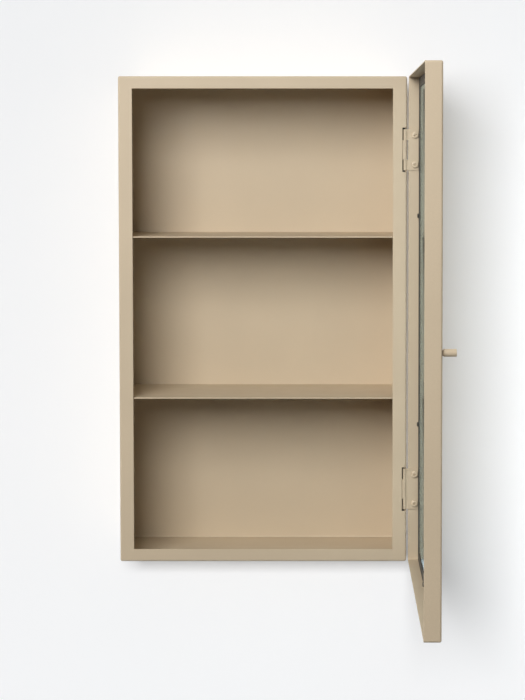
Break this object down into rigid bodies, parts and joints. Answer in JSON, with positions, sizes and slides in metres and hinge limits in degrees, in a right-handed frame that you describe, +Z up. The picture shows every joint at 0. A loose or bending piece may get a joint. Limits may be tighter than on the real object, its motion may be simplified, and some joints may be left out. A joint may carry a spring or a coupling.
{
  "type": "wall mounted showcase",
  "caption": "Shallow wall mounted showcase of folded steel with fixed shelves, a glazed side-hung door on butt hinges, a turned knob and keyholes in the rear flange.",
  "frame": {"origin": "on the wall plane, at the middle of the top panel's rear flange, level with the keyhole seats", "axes": "+Z up, +Y into the wall, +X to the right seen from the front; the door is on the right and stands open at 90 degrees"},
  "size_m": [0.388, 0.4768, 0.596],
  "materials": {
    "powder_coat": "satin powder coat in warm beige",
    "reeded_glass": "clear reeded glass, faintly grey-green",
    "foam_tape": "matt black foam glazing tape",
    "black_coat": "matt black coating",
    "plated_steel": "bright zinc plating"
  },
  "bodies": {
    "cabinet": {"side_panel_left": "powder_coat", "side_panel_right": "powder_coat", "top_panel": "powder_coat", "bottom_panel": "powder_coat", "back_panel": "powder_coat", "shelf_upper": "powder_coat", "shelf_lower": "powder_coat", "door_magnet": "plated_steel", "magnet_clip": "powder_coat", "hinge_upper_backing": "black_coat", "hinge_upper_cabinet_leaf": "powder_coat", "hinge_upper_pin": "plated_steel", "hinge_upper_cabinet_screw_1": "powder_coat", "hinge_upper_cabinet_screw_2": "powder_coat", "hinge_lower_backing": "black_coat", "hinge_lower_cabinet_leaf": "powder_coat", "hinge_lower_pin": "plated_steel", "hinge_lower_cabinet_screw_1": "powder_coat", "hinge_lower_cabinet_screw_2": "powder_coat"},
    "door": {"door_stile_hinge": "powder_coat", "door_stile_free": "powder_coat", "door_rail_top": "powder_coat", "door_rail_bottom": "powder_coat", "door_glass": "reeded_glass", "glazing_tape": "foam_tape", "glass_retainer_hinge": "black_coat", "glass_retainer_free": "black_coat", "glass_retainer_top": "black_coat", "glass_retainer_bottom": "black_coat", "hinge_upper_door_leaf": "powder_coat", "hinge_upper_door_screw_1": "powder_coat", "hinge_upper_door_screw_2": "powder_coat", "hinge_lower_door_leaf": "powder_coat", "hinge_lower_door_screw_1": "powder_coat", "hinge_lower_door_screw_2": "powder_coat", "retainer_screw_1": "black_coat", "retainer_screw_2": "black_coat", "retainer_screw_3": "black_coat", "retainer_screw_4": "black_coat", "retainer_screw_5": "black_coat", "retainer_screw_6": "black_coat", "retainer_screw_7": "black_coat", "retainer_screw_8": "black_coat", "door_knob": "powder_coat", "knob_screw": "plated_steel"}
  },
  "joints": [
    {"name": "door_hinge", "type": "hinge", "parent": "cabinet", "child": "door", "pos_m": [0.1739, -0.1269, -0.287], "axis": [0, 0, 1], "range_deg": [-90, 30]}
  ]
}
